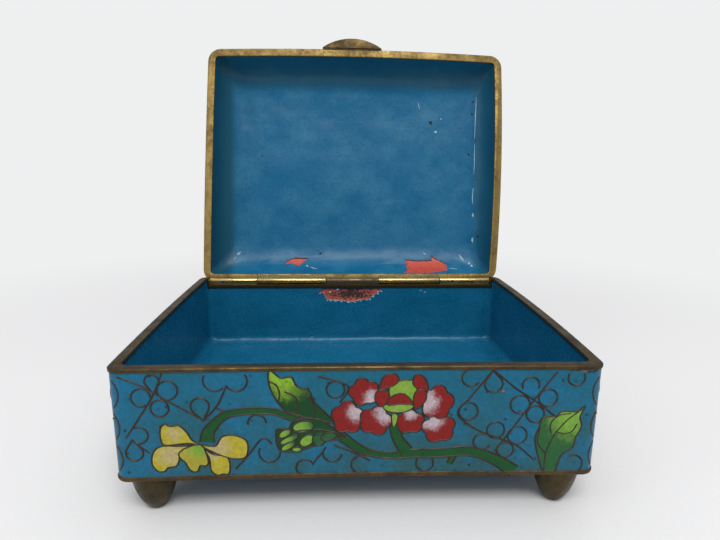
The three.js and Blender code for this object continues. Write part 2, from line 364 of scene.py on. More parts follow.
def inside(point, outline):
    """Whether a point lies within a closed outline."""
    hit = False
    for k, end in enumerate(outline):
        start = outline[k - 1]
        if (start.y > point.y) != (end.y > point.y):
            if point.x < start.x + (point.y - start.y) * (end.x - start.x) / (end.y - start.y):
                hit = not hit
    return hit


class Design:
    """The wires and cells of one face, in the order in which they are laid. A later cell covers
    the wires under it. Sizes are in millimetres in the flat, before it is bent over the face."""

    def __init__(self, middle=0.0, scale=1.0, mirror=1.0, base=-27.2):
        self.middle, self.scale, self.mirror, self.base = middle, scale, mirror, base
        self.wires, self.cells, self.order = [], [], 0
        self.stand()

    def stand(self, x=0.0, z=0.0, turn=0.0, size=1.0, flip=1.0):
        """Where the next motif goes, how it is turned and sized, and whether it is mirrored."""
        self.x, self.z, self.turn, self.size, self.flip = x, z, turn, size, flip

    def put(self, points):
        """Points of a motif carried to their place on the face."""
        spin = Matrix.Rotation(math.radians(self.turn), 2)
        spots = [Vector((self.x, self.z)) + self.size * (spin @ Vector((self.flip * point[0], point[1])))
                 for point in points]
        return [Vector((self.middle + self.mirror * self.scale * spot.x,
                        self.base + self.scale * (spot.y - self.base)))
                for spot in spots]

    def wire(self, points, smooth=True):
        """One wire along a line, or through a few points."""
        line = self.put(points)
        self.wires.append((self.order, curve_through(line) if smooth else line))

    def cell(self, outline, finish, heart=(0, 0), reach=3.0, smooth=True, wired=True):
        """A filled cell. Its second colour shows round the heart, as far as the reach."""
        self.order += 1
        line = self.put(outline)
        if smooth:
            line = curve_through(line, True)
        self.cells.append((line, finish, self.put([heart])[0], max(reach * self.size * self.scale, 0.01)))
        if wired:
            self.wires.append((self.order, line + [line[0]]))

    def stem(self, points, widths, finish, wired=True):
        """A tapering stalk along a line, open at both ends."""
        self.order += 1
        line = curve_through(self.put(points), step=0.8)
        left, right = [], []
        for k, spot in enumerate(line):
            along = (line[min(k + 1, len(line) - 1)] - line[max(k - 1, 0)]).normalized()
            part = k / (len(line) - 1) * (len(widths) - 1)
            low = min(int(part), len(widths) - 2)
            half = self.size * self.scale * (widths[low] + (widths[low + 1] - widths[low]) * (part - low)) / 2
            left.append(spot + half * Vector((-along.y, along.x)))
            right.append(spot - half * Vector((-along.y, along.x)))
        self.cells.append((left + right[::-1], finish, line[0], 0.01))
        if wired:
            self.wires += [(self.order, left), (self.order, right)]


def inlay_enamel(name, edge, heart, speck, softness=0.25):
    """Two enamels run together in one cell: its edge colour and its heart colour, by the map."""
    material, tree, shader, place = new_material(name)
    spread = add_node(tree, "ShaderNodeUVMap", uv_map="spread")
    spread = add_node(tree, "ShaderNodeSeparateXYZ", {0: spread.outputs["UV"]})
    ragged = noise(tree, place, 750.0, 4.0, 0.75)
    torn = maths(tree, "MULTIPLY_ADD", ragged, 0.9, spread.outputs["X"])
    share = remap(tree, torn, 0.95 - softness, 0.95 + softness, smooth=True)
    run = blend(tree, share, (*edge, 1), (*heart, 1))
    plug_in(tree, shader, fired_enamel, 0.00018, {"Place": place, "Ground": run, "Cloud": run, "Speck": (*speck, 1),
        "Clouding": 0.0, "Speckling": 0.55, "Smooth": 0.30, "Wave": 0.5})
    settings_of(shader, IOR=1.52, Specular_IOR_Level=0.16)
    return material


RED, GREEN, YELLOW, STALK, LIME, SCALE_GREEN, YELLOW_LIME, CHIPPED, RUST = range(9)
cell_enamels = [
    inlay_enamel("red_and_white_enamel", (0.205, 0.011, 0.010), (0.440, 0.360, 0.390), (0.03, 0.006, 0.006)),
    inlay_enamel("two_green_enamel", (0.006, 0.052, 0.013), (0.210, 0.380, 0.030), (0.008, 0.02, 0.008), 0.3),
    inlay_enamel("yellow_and_cream_enamel", (0.400, 0.340, 0.030), (0.420, 0.350, 0.160), (0.06, 0.04, 0.01), 0.4),
    inlay_enamel("stalk_green_enamel", (0.008, 0.070, 0.018), (0.018, 0.094, 0.026), (0.006, 0.02, 0.008)),
    inlay_enamel("lime_enamel", (0.150, 0.320, 0.030), (0.210, 0.340, 0.050), (0.04, 0.05, 0.01)),
    inlay_enamel("green_scale_enamel", (0.020, 0.100, 0.032), (0.170, 0.340, 0.040), (0.01, 0.03, 0.01), 0.35),
    inlay_enamel("yellow_and_lime_enamel", (0.330, 0.300, 0.035), (0.160, 0.330, 0.040), (0.06, 0.05, 0.01), 0.4),
    inlay_enamel("chipped_white_glass", (0.30, 0.46, 0.54), (0.50, 0.58, 0.60), (0.08, 0.14, 0.18), 0.3),
    inlay_enamel("rusty_chip", (0.050, 0.030, 0.014), (0.300, 0.120, 0.045), (0.02, 0.01, 0.006), 0.4),
]
copper, tree, shader, place = new_material("brown_copper_wire")
rub = noise(tree, place, 420.0, 4.0)
rub = remap(tree, rub, 0.45, 0.72)
tone = blend(tree, rub, (0.020, 0.015, 0.009, 1), (0.060, 0.041, 0.021, 1))
tree.links.new(tone, shader.inputs["Base Color"])
sheen = remap(tree, rub, start=0.55, end=0.38)
tree.links.new(sheen, shader.inputs["Roughness"])
metal = remap(tree, rub, start=0.1, end=0.6)
tree.links.new(metal, shader.inputs["Metallic"])


def filled(outline, pitch=0.9):
    """The flat triangles that fill a closed outline, small enough to bend over a curved face."""
    low = Vector((min(p.x for p in outline), min(p.y for p in outline)))
    high = Vector((max(p.x for p in outline), max(p.y for p in outline)))
    spots = [point.copy() for point in outline]
    for row in range(int((high.y - low.y) / pitch) + 1):
        for column in range(int((high.x - low.x) / pitch) + 1):
            spot = low + Vector(((column + 0.5 * (row % 2)) * pitch + 0.2, row * pitch + 0.2))
            if inside(spot, outline) and min((spot - edge).length for edge in outline) > 0.4 * pitch:
                spots.append(spot)
    edges = [(k, (k + 1) % len(outline)) for k in range(len(outline))]
    spots, _, triangles, *_ = delaunay_2d_cdt(spots, edges, [], 1, 1e-5)
    return spots, triangles


def drawn_wire(curve, metal):
    """The mesh of a curve's wire, in one metal."""
    wire = bpy.data.objects.new(curve.name, curve)
    bpy.context.scene.collection.objects.link(wire)
    select_only(wire)
    bpy.ops.object.convert(target="MESH")
    wire = bpy.context.object
    wire.data.materials.clear()
    wire.data.materials.append(metal)
    bpy.ops.object.shade_smooth_by_angle(angle=math.radians(60))
    return wire


CELL_PROUD, CELL_LAYER = 0.035, 0.0012    # how far a cell stands out, and each later cell more


def set_in(design, name, face_point, body, wire_radius=0.28, sunk=0.12):
    """Bends a design over a face: one piece for its coloured cells and one for its wires."""
    corners, faces, spreads, finishes = [], [], [], []
    for order, (outline, finish, heart, reach) in enumerate(design.cells):
        spots, triangles = filled(outline)
        first = len(corners)
        for spot in spots:
            corners.append(face_point(spot.x, spot.y, CELL_PROUD + CELL_LAYER * order))
        for triangle in triangles:
            faces.append([first + k for k in triangle])
            finishes.append(finish)
            spreads.append([1.0 - (spots[k] - heart).length / reach for k in triangle])
    if faces:
        mesh = bpy.data.meshes.new(name + "_cells")
        mesh.from_pydata([corner * MM for corner in corners], [], faces)
        spread = mesh.uv_layers.new(name="spread")
        for face, values in zip(mesh.polygons, spreads):
            face.material_index = finishes[face.index]
            for loop, value in zip(face.loop_indices, values):
                spread.data[loop].uv = (value, 0.5)
        for finish in cell_enamels:
            mesh.materials.append(finish)
        cells = bpy.data.objects.new(name + "_cells", mesh)
        bpy.context.scene.collection.objects.link(cells)
        for face in mesh.polygons:
            face.use_smooth = True
        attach(cells, body)
    if not design.wires:
        return
    curve = bpy.data.curves.new(name + "_wires", "CURVE")
    curve.dimensions = "3D"
    curve.bevel_depth = wire_radius * MM
    curve.bevel_resolution = 1
    curve.use_fill_caps = True
    for order, line in design.wires:
        covers = [outline for rank, (outline, *_) in enumerate(design.cells, 1) if rank > order]
        runs, run = [], []
        for spot in line:
            if any(inside(spot, outline) for outline in covers):
                runs.append(run)
                run = []
            else:
                run.append(spot)
        runs.append(run)
        for run in runs:
            if len(run) > 1:
                strand = curve.splines.new("POLY")
                strand.points.add(len(run) - 1)
                for knot, spot in zip(strand.points, run):
                    knot.co = (*(face_point(spot.x, spot.y, -sunk) * MM), 1)
    wires = drawn_wire(curve, copper)
    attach(wires, body)


half_width, half_depth, corner_radius = 57.5, 44.5, 3.2
wall_bow = {"front": -0.8, "back": 0.0, "left": 0.7, "right": 1.3}
plan_x = pan_middle.x / MM + (wall_bow["left"] - wall_bow["right"]) / 2
plan_y = pan_high.y / MM - half_depth
mouth_height = box_high.z / MM


def on_wall(run, drop, lift):
    """A place on the pan's outer wall. The run starts at the middle of the front and goes to the
    right round the box, the drop is down from the mouth as a minus number."""
    flats = (half_width - corner_radius, half_depth - corner_radius)
    quarter_arc = corner_radius * math.pi / 2
    run = (run + flats[0]) % (4 * sum(flats) + 4 * quarter_arc)
    for side in range(4):
        flat, reach = flats[side % 2], (half_depth, half_width)[side % 2]
        if run <= 2 * flat:
            spot = Vector((run - flat, -reach - lift))
            break
        run -= 2 * flat
        if run <= quarter_arc:
            angle = run / corner_radius
            spot = Vector((flat + (corner_radius + lift) * math.sin(angle),
                           corner_radius - reach - (corner_radius + lift) * math.cos(angle)))
            break
        run -= quarter_arc
    spot.rotate(Matrix.Rotation(side * math.pi / 2, 2))
    across, along = spot.x / half_width, spot.y / half_depth
    side_bow = wall_bow["right" if across > 0 else "left"]
    end_bow = wall_bow["back" if along > 0 else "front"]
    return Vector((plan_x + spot.x + across * side_bow * (1 - along * along),
                   plan_y + spot.y + along * end_bow * (1 - across * across), mouth_height + drop))


def crossing(design, x, z, size, turn=0.0, arms=(11, 11, 11, 11), loops=(1, 1, 1, 1)):
    """Two wires that cross, with four round loops set in the corners between them."""
    design.stand(x, z, turn, size)
    for k, arm in enumerate(arms):
        angle = math.radians(-33 + (0, 86, 180, 266)[k])
        if arm:
            design.wire([(0, 0), (arm * 0.5 * math.cos(angle), arm * 0.5 * math.sin(angle) + 0.3),
                         (arm * math.cos(angle), arm * math.sin(angle))])
    for k, bend in enumerate(loops):
        angle = math.radians((10, 100, 190, 280)[k])
        if bend:
            design.wire(ring_line(3.2 * math.cos(angle), 3.2 * math.sin(angle), 2.15 * bend), smooth=False)
    design.stand()


def peony(design, x, z, turn=0.0, size=1.0, flip=1.0):
    """An open peony: six scalloped petals, red run into white, round a lime heart with small
    upturned red petals. It is placed by the middle of its lime cup."""
    design.stand(x, z, turn, size, flip)
    design.cell([(-2.2, 4.5), (-1.0, 6.2), (2, 7.0), (4, 6.0), (4.2, 2.5), (2, 0.2), (-2, 0.5)], LIME, (1, 5), 4)
    petals = (((-8.0, 4.0), (3.4, 3.3), 5, 0.2, (-5.9, 2.2), 4.2),
              ((-11.8, -2.4), (3.7, 4.0), 5, 0.9, (-9.8, -1.2), 4.2),
              ((9.8, -5.3), (3.9, 3.7), 5, 0.4, (8.0, -3.2), 4.9), ((9.2, 1.2), (3.8, 4.2), 5, 1.2, (6.6, 1.4), 5.2),
              ((2.9, -3.6), (3.4, 3.0), 5, 0.6, (3.3, -0.9), 4.0),
              ((-5.2, -3.3), (3.8, 3.6), 5, 1.5, (-3.0, -1.3), 4.8))
    for (px, pz), (wide, high), count, phase, heart, reach in petals:
        design.cell(scalloped(px, pz, wide, high, count, 0.21, phase), RED, heart, reach, smooth=False)
    design.cell([(-1.4, -1.7), (-1.2, -4.6), (-0.5, -4.8), (0.1, -2.0)], LIME, (-1, -3), 3)
    design.cell([(-3.3, 0.7), (-2.8, -0.7), (0, -1.3), (2.8, -0.7), (3.6, 0.6), (0, 1.0)], LIME, (0, 0), 4)
    design.cell([(-2.4, 0.7), (-1.8, 2.6), (0.6, 3.6), (2.4, 2.6), (3.4, 0.9), (0.4, 0.9)], RED, (0, 0), 0.01)
    for spot in (((-4.3, 5.0), (-3.2, 7.9), (-0.8, 8.4), (0, 6.8), (-1.5, 5.4)),
                 ((3.3, 6.3), (4.2, 8.3), (6.2, 7.2), (6.9, 5.0), (6.6, 3.6), (4.6, 4.6)),
                 ((-3.9, 0.2), (-5.4, 2.2), (-4.9, 4.2), (-2.6, 4.4), (-2.1, 2.3)),
                 ((4.2, -0.5), (3.6, 2.2), (4.3, 4.2), (6.3, 4.2), (6.5, 1.8))):
        design.cell(list(spot), RED, (0, 0), 0.01)
    design.stand()


def yellow_blossom(design, x, z, turn=0.0, size=1.0, flip=1.0):
    """A yellow blossom seen from the side: five ragged petals that meet at its stalk end."""
    design.stand(x, z, turn, size, flip)
    design.cell([(0, 0), (-3, 0.6), (-8.2, 0.3), (-9.2, 2.2), (-9.0, 4.6), (-8, 5.6), (-6.9, 5.0), (-5, 5.2),
                 (-3.3, 3.6),
                 (-2, 1.3)], YELLOW, (-6, 3), 3.0)
    design.cell([(0, 0), (-5, -0.1), (-9, 0.0), (-11, -1.4), (-11.6, -4.4), (-10.4, -6.4), (-8.8, -6.5), (-8.0, -5.6),
                 (-6.2, -5.3), (-5.4, -4.0), (-4.6, -1.6)], YELLOW, (-7.2, -2.4), 5.0)
    design.cell([(0, 0), (-3.4, -0.5), (-5.3, -2.0), (-4.9, -3.4), (-3.9, -4.4), (-2.9, -6.4), (-1.3, -6.8),
                 (-0.5, -5.2),
                 (0.6, -5.4), (1.4, -4.2)], YELLOW_LIME, (-0.6, -0.4), 4.6)
    design.cell([(0.6, -0.8), (2.5, -2.4), (5.6, -3.0), (6.4, -5.2), (6.0, -7.6), (4.6, -7.6), (3.4, -7.9),
                 (2.0, -6.6),
                 (1.7, -3.4)], YELLOW, (2.5, -2.6), 2.5)
    design.cell([(0, 0), (3.2, -0.3), (5, 2.1), (8, 2.3), (10.6, 0.6), (10.2, -3.2), (7.4, -3.6), (4.2, -2.6)],
                YELLOW,
                (4.2, -0.4), 4.4)
    design.stand()


def bud_leaf(design, x, z, turn=0.0, size=1.0, flip=1.0):
    """A folded leaf like a bud, lime above and dark green below, placed by its stalk end."""
    design.stand(x, z, turn, size, flip)
    design.cell([(-1.2, 0), (-3, 4.5), (-4.0, 9), (-3.2, 12), (-2.6, 14.5), (0.4, 14.8), (2, 16), (5.5, 16.0),
                 (7.2, 17.4),
                 (6.2, 14.5), (6.8, 12.2), (5.6, 9), (5.2, 6.6), (2.7, 4.6), (1.3, 0)], SCALE_GREEN, (4.4, 14.6), 9.5)
    for vein in (((6.6, 16.6), (3.5, 14), (1.5, 11.5), (0.3, 9.5), (-1.2, 5), (-1.2, 0.5)),
                 ((-0.3, 10.2), (-0.7, 12), (-0.2, 13.7), (1.5, 15.1), (4, 15.5)),
                 ((1.0, 10.7), (3.0, 10.2), (4.8, 11), (5.7, 12.8)),
                 ((-1.4, 5.2), (-3.4, 8), (-3.0, 12))):
        design.wire(vein)
    design.stand()


def broad_leaf(design, x, z, turn=0.0, size=1.0, flip=1.0):
    """A broad leaf with curved veins, lime on its outer half, placed by its stalk end."""
    design.stand(x, z, turn, size, flip)
    design.cell([(0, 0), (-4, 1.0), (-7.5, 1.8), (-11.3, 3.6), (-13.9, 7.6), (-14.8, 11.2), (-14.3, 13.3),
                 (-12, 11.4),
                 (-9.6, 11.6), (-8.2, 9.2), (-5.6, 8.2), (-4.3, 5.2), (-1.8, 2.6)], GREEN, (-11.5, 12.5), 10.5)
    for vein in (((-14.6, 10.6), (-13.0, 9.6), (-12.3, 7.4), (-12.8, 5.2)),
                 ((-11.2, 8.0), (-8.9, 6.8), (-8.2, 4.5), (-8.9, 1.9)),
                 ((-7.6, 7.2), (-5.2, 6.0), (-4.3, 3.6), (-4.5, 1.2))):
        design.wire(vein)
    design.stand()


def scaled_leaf(design, x, z, turn=0.0, size=1.0, flip=1.0):
    """A folded leaf cut into rows of small cells like scales, placed by its stalk end."""
    design.stand(x, z, turn, size, flip)
    design.cell([(0, 0), (-2, 2.0), (-6, 4.8), (-11.5, 4.6), (-13, 2.6), (-15.6, 2.5), (-16.0, 0.2), (-15.2, -2.8),
                 (-12.2, -3.5), (-8, -2.4), (-4.6, -0.9)], GREEN, (-30, 0), 14)
    for x0, z0, wide, high, lean, lime in ((-13.9, 1.3, 1.6, 0.9, 30, 4), (-13.0, -0.3, 2.3, 0.8, 24, 4),
                                           (-13.2, -2.0, 1.9, 0.8, 30, 4), (-11.2, -2.9, 1.2, 0.6, 0, 4),
                                           (-8.8, -0.6, 1.9, 1.3, 36, 9), (-5.9, -0.4, 1.6, 1.5, 40, 0),
                                           (-9.6, 3.0, 2.5, 1.4, 8, 5), (-3.6, 0.4, 1.9, 1.0, 16, 0)):
        design.cell(scalloped(x0, z0, wide, high, 2, 0.0, 0, lean), SCALE_GREEN, (x0 - 1.0, z0 - 0.4), lime,
                    smooth=False)
    design.wire([(0, 0), (-4, 1.9), (-8, 2.2), (-12, 1.8)])
    design.stand()


def front_lattice(design):
    """Cloud loops and crossing wires that tie the flowers together and hold the ground enamel."""
    crossings = (((-54.8, -1.8), (-49, -4.4), (-44, -7.9), (-36.6, -12.6)),
                 ((-44.9, -1.2), (-47, -6.2), (-50.3, -11.5), (-54, -17)),
                 ((31, -1.0), (36.5, -5.6), (41, -8.6), (46.4, -12.8)),
                 ((46, -1.6), (41.2, -8.6), (36.5, -16), (32.6, -22)),
                 ((31, -1.0), (26, -8), (23.2, -12.1), (28, -16.3), (34.4, -18.9), (38, -20.6), (42.2, -24.3)))
    for line in crossings:
        design.wire(line)
    for x, z, radius in ((-43.9, -5.3, 2.3), (-49.9, -7.0, 2.2), (-45.9, -9.7, 2.05), (25.7, -11.5, 2.25),
                         (44.4, -8.1, 2.2),
                         (37.9, -9.8, 2.3), (41.7, -12.3, 2.1), (32.5, -16.4, 2.1), (37.8, -17.8, 2.3),
                         (-5.6, -5.7, 2.1),
                         (35.1, -21.6, 2.0)):
        design.wire(ring_line(x, z, radius), smooth=False)
    for x, z, radius, start, sweep in ((25.9, -3.0, 2.1, 75, 250), (50.7, -3.0, 2.0, 150, 240),
                                       (29.4, -19.4, 2.1, 80, 250),
                                       (40.1, -4.9, 2.0, -20, 225), (-23.9, -13.9, 2.1, 0, 190),
                                       (-21.2, -21.6, 2.5, 150, 215),
                                       (-28.3, -3.3, 2.5, -150, 190), (-33.2, -3.1, 2.6, 150, 165),
                                       (-51.1, -16.4, 2.1, 120, -240),
                                       (0.4, -25.2, 2.3, 60, 250), (-6.4, -22.1, 2.2, 130, 225),
                                       (-12.9, -25.7, 2.1, 20, 230),
                                       (15.8, -25.0, 2.1, 130, 285), (51.8, -25.5, 2.4, 120, -240),
                                       (59.5, -6.5, 4.6, 130, 100),
                                       (59.8, -15.2, 4.4, 130, 100), (-59.3, -6.2, 4.4, 50, -100),
                                       (-59.5, -14.4, 4.2, 50, -100),
                                       (59.6, -23.0, 4.0, 130, 100), (-59.4, -22.5, 4.2, 50, -100)):
        design.wire(ring_line(x, z, radius, start, sweep), smooth=False)
    for drop in ((-36.8, -9.4, 2.1, -36.2, -13.1), (-52.4, -20.9, 2.0, -52.7, -17.5), (31.3, -4.6, 2.1, 31, -1.2),
                 (-47.2, -3.0, 1.6, -46.9, -6.2)):
        design.wire(teardrop_line(*drop), smooth=False)
    for line in (((-30.5, -4.3), (-31.6, -6.8), (-33, -9.5), (-36.2, -13.1)), ((-33.2, -9.8), (-31.2, -10.8)),
                 ((-29.3, -25.7), (-26.3, -22.3), (-22.8, -17.9), (-20.6, -19.3)),
                 ((-9.6, -2.4), (-6, -3.4), (-2.6, -5.2), (-4.6, -9)),
                 ((-6, -19.9), (-2, -21.6), (1, -23.2), (2.6, -24.2)), ((-10.9, -24.6), (-9.6, -22.8), (-8.5, -21.6)),
                 ((-52.6, -17.8), (-50.8, -19.4), (-49, -21))):
        design.wire(line)


def front_spray(design):
    """The flowering branch: one main stalk with a fork, two leaves, a blossom, a bud and a peony."""
    design.stem([(-35.6, -18.5), (-35.0, -15.6), (-31.4, -11.9), (-27, -10.9), (-23, -10.7), (-19, -11.3),
                 (-14, -13.6)],
               (3.4, 2.0, 1.6, 1.6, 1.5, 1.7), STALK)
    design.stem([(22.6, -23.2), (21.8, -25.2)], (1.6, 1.0), STALK)
    design.stem([(-4.4, -17.4), (-1.5, -19.9), (1.5, -21.7), (5, -22.6), (9, -22.8), (13, -22.4), (18, -22.4),
                 (22, -22.1), (26, -21.9),
                (30, -22.9), (34, -24.9), (37.6, -27.4)], (2.4, 2.0, 1.6, 1.6, 2.0, 2.2, 2.3, 2.3, 2.4, 2.7, 3.2),
                STALK)
    design.stem([(11.4, -21.8), (9.2, -18.5), (8.2, -14.8)], (3.0, 2.4, 2.2), STALK)
    broad_leaf(design, -6.2, -14.1)
    scaled_leaf(design, -3.6, -18.0)
    yellow_blossom(design, -37.0, -19.3)
    bud_leaf(design, 46.2, -27.6)
    peony(design, 9.0, -10.4)


front = Design()
front_lattice(front)
front_spray(front)
front.cell([(48.6, -0.9), (49.4, -1.4), (50.2, -1.15), (51.4, -1.5), (52.2, -1.3), (53.2, -1.9), (54.0, -1.5),
            (54.9, -1.75),
            (55.6, -1.2), (55.6, -0.9)], RUST, (52, -1.3), 1.6, smooth=False, wired=False)
front.cell(scalloped(33.6, -6.3, 0.4, 0.3, 3, 0.4), RUST, (33.6, -6.3), 1.0, smooth=False, wired=False)
set_in(front, "front_wall", on_wall, "box")


# ---------------------------------------------------------------- wires and cells of the sides and the back
# The same wire-work runs round the other three walls. The back repeats the flowering branch,
# smaller, under the hinge, and each short side has a branch of its own on a plainer lattice.
half_way = 4 * (half_width + half_depth - 2 * corner_radius) / 2 + corner_radius * math.pi
back = Design(half_way, 0.86)
front_lattice(back)
front_spray(back)
set_in(back, "back_wall", on_wall, "box")
for wall, middle, mirror in (("right_wall", half_way / 2, 1), ("left_wall", -half_way / 2, -1)):
    side = Design(middle, 1.0, mirror)
    for k, x in enumerate((-33, -11, 11, 33)):
        crossing(side, x, -9 if k % 2 else -18, 1.0, 6 * (-1) ** k, (13, 11, 13, 11))
        crossing(side, x + 1, -23 if k % 2 else -5, 0.75, -8, (6, 4, 6, 0), (1, 0, 1, 1))
    for x, z, radius, start, sweep in ((-22, -4, 2.3, 150, 230), (0, -3.4, 2.2, 170, 200), (22, -4, 2.3, 150, 230),
                                       (-22, -24, 2.3, 0, 200),
                                       (0, -25.5, 2.2, -10, 200), (22, -24.2, 2.3, 0, 200), (-40, -7, 2.1, 60, 250),
                                       (40, -20, 2.1, 60, 250)):
        side.wire(ring_line(x, z, radius, start, sweep), smooth=False)
    side.stem([(-24, -17.5), (-18, -14.6), (-12, -14.8), (-6, -17.6), (0, -20.6), (6, -21.9), (12, -21.6),
               (18, -21.2), (24, -22.6),
               (28, -24.8), (31.5, -27.2)], (1.4, 1.6, 1.8, 2.0, 2.2, 2.3, 2.3, 2.4, 2.6, 2.8, 3.2), STALK)
    side.stem([(8.6, -21.6), (7.0, -18.4), (6.8, -14.8)], (2.8, 2.2, 2.0), STALK)
    yellow_blossom(side, -25.5, -18.2, size=0.9)
    broad_leaf(side, -11.0, -15.6, turn=-14, size=0.86)
    bud_leaf(side, 33.8, -27.4, turn=6, size=0.92)
    peony(side, 7.6, -10.4, size=0.92)
    set_in(side, wall, on_wall, "box")


# ---------------------------------------------------------------- losses in the pan
# Under the middle of the hinge the inside enamel has broken away down to the copper, which is
# pink where it is fresh and brown and crusted in the middle. The broken glass edge is white.
wall_thickness = 2.4
inner_back = pan_high.y / MM - wall_thickness


def ragged_metal(name, fresh, crust, share, scale=900.0):
    """Bare copper in an enamel loss: fresh metal with patches of dark crust."""
    material, tree, shader, place = new_material(name)
    scabs = noise(tree, place, scale, 5.0, 0.7)
    cover = remap(tree, scabs, 0.62 - share, 0.72 - share)
    colour = blend(tree, cover, (*fresh, 1), (*crust, 1))
    tree.links.new(colour, shader.inputs["Base Color"])
    dull = remap(tree, cover, start=0.42, end=0.75)
    tree.links.new(dull, shader.inputs["Roughness"])
    relief(tree, shader, scabs, 0.0003)
    return material


def crust_near(material, middle, spread):
    """Gathers the crust of a bare-copper finish round one place."""
    tree = material.node_tree
    cover = next(node for node in tree.nodes if node.type == "MAP_RANGE" and node.inputs["From Max"].default_value < 1)
    place = add_node(tree, "ShaderNodeTexCoord").outputs["Object"]
    offset = add_node(tree, "ShaderNodeVectorMath", {0: place, 1: middle}, operation="SUBTRACT")
    offset = add_node(tree, "ShaderNodeVectorMath", {0: offset.outputs[0], 1: spread}, operation="DIVIDE")
    far = add_node(tree, "ShaderNodeVectorMath", {0: offset.outputs[0]}, operation="LENGTH")
    lift = remap(tree, far.outputs["Value"], start=0.16, end=-0.10)
    level = maths(tree, "ADD", cover.inputs["Value"].links[0].from_socket, lift)
    tree.links.new(level, cover.inputs["Value"])


crusted_copper = ragged_metal("crusted_copper", (0.44, 0.095, 0.065), (0.040, 0.022, 0.014), 0.16, 1100.0)
crust_near(crusted_copper, (pan_middle.x, inner_back * MM, 0.0322), (0.0115, 1.0, 0.0032))
coral_copper = ragged_metal("fresh_coral_copper", (0.54, 0.075, 0.045), (0.30, 0.040, 0.026), 0.06, 800.0)
pit_black = ragged_metal("dark_pit_bottom", (0.020, 0.014, 0.012), (0.005, 0.004, 0.004), 0.10, 2000.0)
broken_glass, tree, shader, place = new_material("broken_glass_edge")
chips = noise(tree, place, 1400.0, 3.0)
chips = remap(tree, chips, 0.42, 0.60)
tone = blend(tree, chips, (0.020, 0.110, 0.180, 1), (0.50, 0.60, 0.64, 1))
tree.links.new(tone, shader.inputs["Base Color"])
settings_of(shader, Roughness=0.35)


def ragged(outline, bite=0.22, step=0.7, seed=3):
    """An outline broken into small chips."""
    chance = random.Random(seed)
    line = []
    for k, end in enumerate(outline):
        start, end = Vector(outline[k - 1]), Vector(end)
        count = max(1, round((end - start).length / step))
        for i in range(count):
            keep = bite * min(1, min(i, count - i) * step / 2)
            line.append(start + (end - start) * (i / count)
                        + Vector((chance.uniform(-keep, keep), chance.uniform(-keep, keep))))
    return line


def knock_out(piece, outlines, face_point, depth, metal):
    """Breaks the enamel away inside each outline: a shallow hollow with a chipped glass edge."""
    corners, faces, kinds = [], [], []
    for outline in outlines:
        spots, triangles = filled(outline, 1.1)
        first, count = len(corners), len(spots)
        corners += [face_point(spot.x, spot.y, 0.6) * MM for spot in spots]
        corners += [face_point(spot.x, spot.y, -depth) * MM for spot in spots]
        rim = [(min(range(count), key=lambda i: (spots[i] - point).length)) for point in outline]
        faces += [[first + k for k in triangle] for triangle in triangles]
        faces += [[first + count + k for k in reversed(triangle)] for triangle in triangles]
        kinds += [0] * len(triangles) + [1] * len(triangles)
        for k, j in zip(rim, rim[1:] + rim[:1]):
            faces.append([first + k, first + count + k, first + count + j, first + j])
            kinds.append(0)
    mesh = bpy.data.meshes.new("chisel")
    mesh.from_pydata(corners, [], faces)
    mesh.materials.append(broken_glass)
    mesh.materials.append(metal)
    for face, kind in zip(mesh.polygons, kinds):
        face.material_index = kind
    chisel = bpy.data.objects.new("chisel", mesh)
    bpy.context.scene.collection.objects.link(chisel)
    select_only(chisel)
    bpy.ops.object.mode_set(mode="EDIT")
    bpy.ops.mesh.select_all(action="SELECT")
    bpy.ops.mesh.normals_make_consistent(inside=False)
    bpy.ops.object.mode_set(mode="OBJECT")
    bpy.context.view_layer.objects.active = piece
    cut = piece.modifiers.new("knocked_out", "BOOLEAN")
    cut.operation, cut.solver, cut.object, cut.material_mode = "DIFFERENCE", "EXACT", chisel, "TRANSFER"
    bpy.ops.object.modifier_apply(modifier=cut.name)
    bpy.data.objects.remove(chisel)
    piece.select_set(True)
    bpy.ops.object.shade_smooth_by_angle(angle=math.radians(38))
    even = piece.modifiers.new("even_shading", "WEIGHTED_NORMAL")
    even.keep_sharp = True
    bpy.ops.object.modifier_apply(modifier=even.name)


def in_back_wall(x, z, lift):
    """A place on the inside of the pan's back wall."""
    return Vector((pan_middle.x / MM + x, inner_back - lift, z))


knock_out(pan, [ragged([(-14.5, 32.1), (-12.4, 33.2), (-11.1, 34.4), (11.7, 34.4), (11.2, 33.4), (9.5, 32.4),
                        (6.2, 29.6), (4.8, 30.0),
                        (0, 29.0), (-6, 29.6), (-9.5, 29.8), (-10.3, 31.0), (-11, 32.7)]),
                [Vector((23.4 + 0.45 * math.cos(k), 29.9 + 0.28 * math.sin(k))) for k in range(6)]],
          in_back_wall, 0.45, crusted_copper)
chips = Design(base=0.0)
for x, z, wide, high in ((-9.6, 29.5, 0.5, 0.25), (-8.2, 29.4, 0.7, 0.25), (-6.2, 29.3, 0.8, 0.22),
                         (-4.0, 29.1, 0.9, 0.2), (-1.2, 28.8, 1.1, 0.22),
                         (1.4, 28.9, 0.7, 0.2), (3.6, 29.4, 0.5, 0.25), (7.2, 30.0, 0.5, 0.4),
                         (8.4, 31.2, 0.6, 0.4), (10.2, 32.3, 0.7, 0.35),
                         (11.6, 33.2, 0.6, 0.3), (-8.4, 33.0, 0.8, 0.5), (-5.4, 34.0, 0.7, 0.35),
                         (27.0, 33.6, 0.9, 0.15), (28.6, 32.9, 0.7, 0.2)):
    chips.cell(scalloped(x, z, wide * 0.6, high * 0.7, 4, 0.6, x), CHIPPED, (x, z), 1.0, smooth=False, wired=False)
set_in(chips, "back_wall_chips", in_back_wall, "box")
